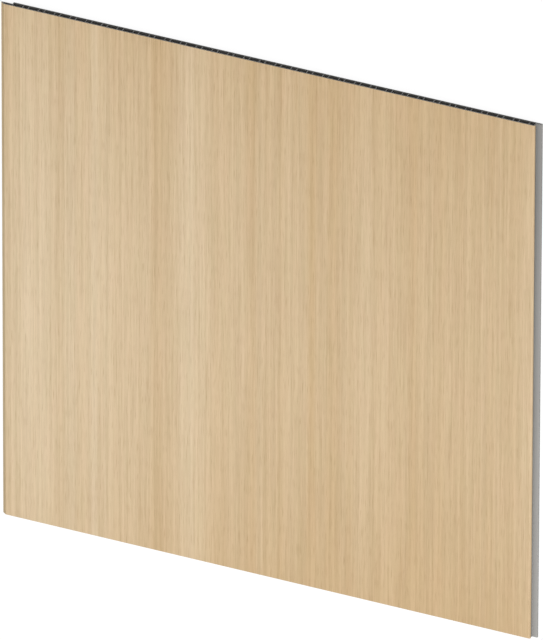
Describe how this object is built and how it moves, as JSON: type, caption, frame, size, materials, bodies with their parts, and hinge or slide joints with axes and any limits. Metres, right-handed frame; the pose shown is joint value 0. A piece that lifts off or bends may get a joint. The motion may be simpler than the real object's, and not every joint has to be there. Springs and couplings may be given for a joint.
{
  "type": "decorative wall panel",
  "caption": "Flat hollow-core wall panel with an oak-effect face, a thin covering lip along one edge and a rebated fixing flange along the other.",
  "frame": {"origin": "under the middle of the panel, on the level of its back face", "axes": "+X across the panel from the lip to the flange, +Y along the hollow cells, +Z out of the decor face"},
  "size_m": [0.606, 0.626, 0.0075],
  "materials": {
    "core_plastic": "matte",
    "oak_film": "satin"
  },
  "bodies": {
    "root": {"hollow_core": "core_plastic", "decor_film": "oak_film"}
  },
  "joints": []
}
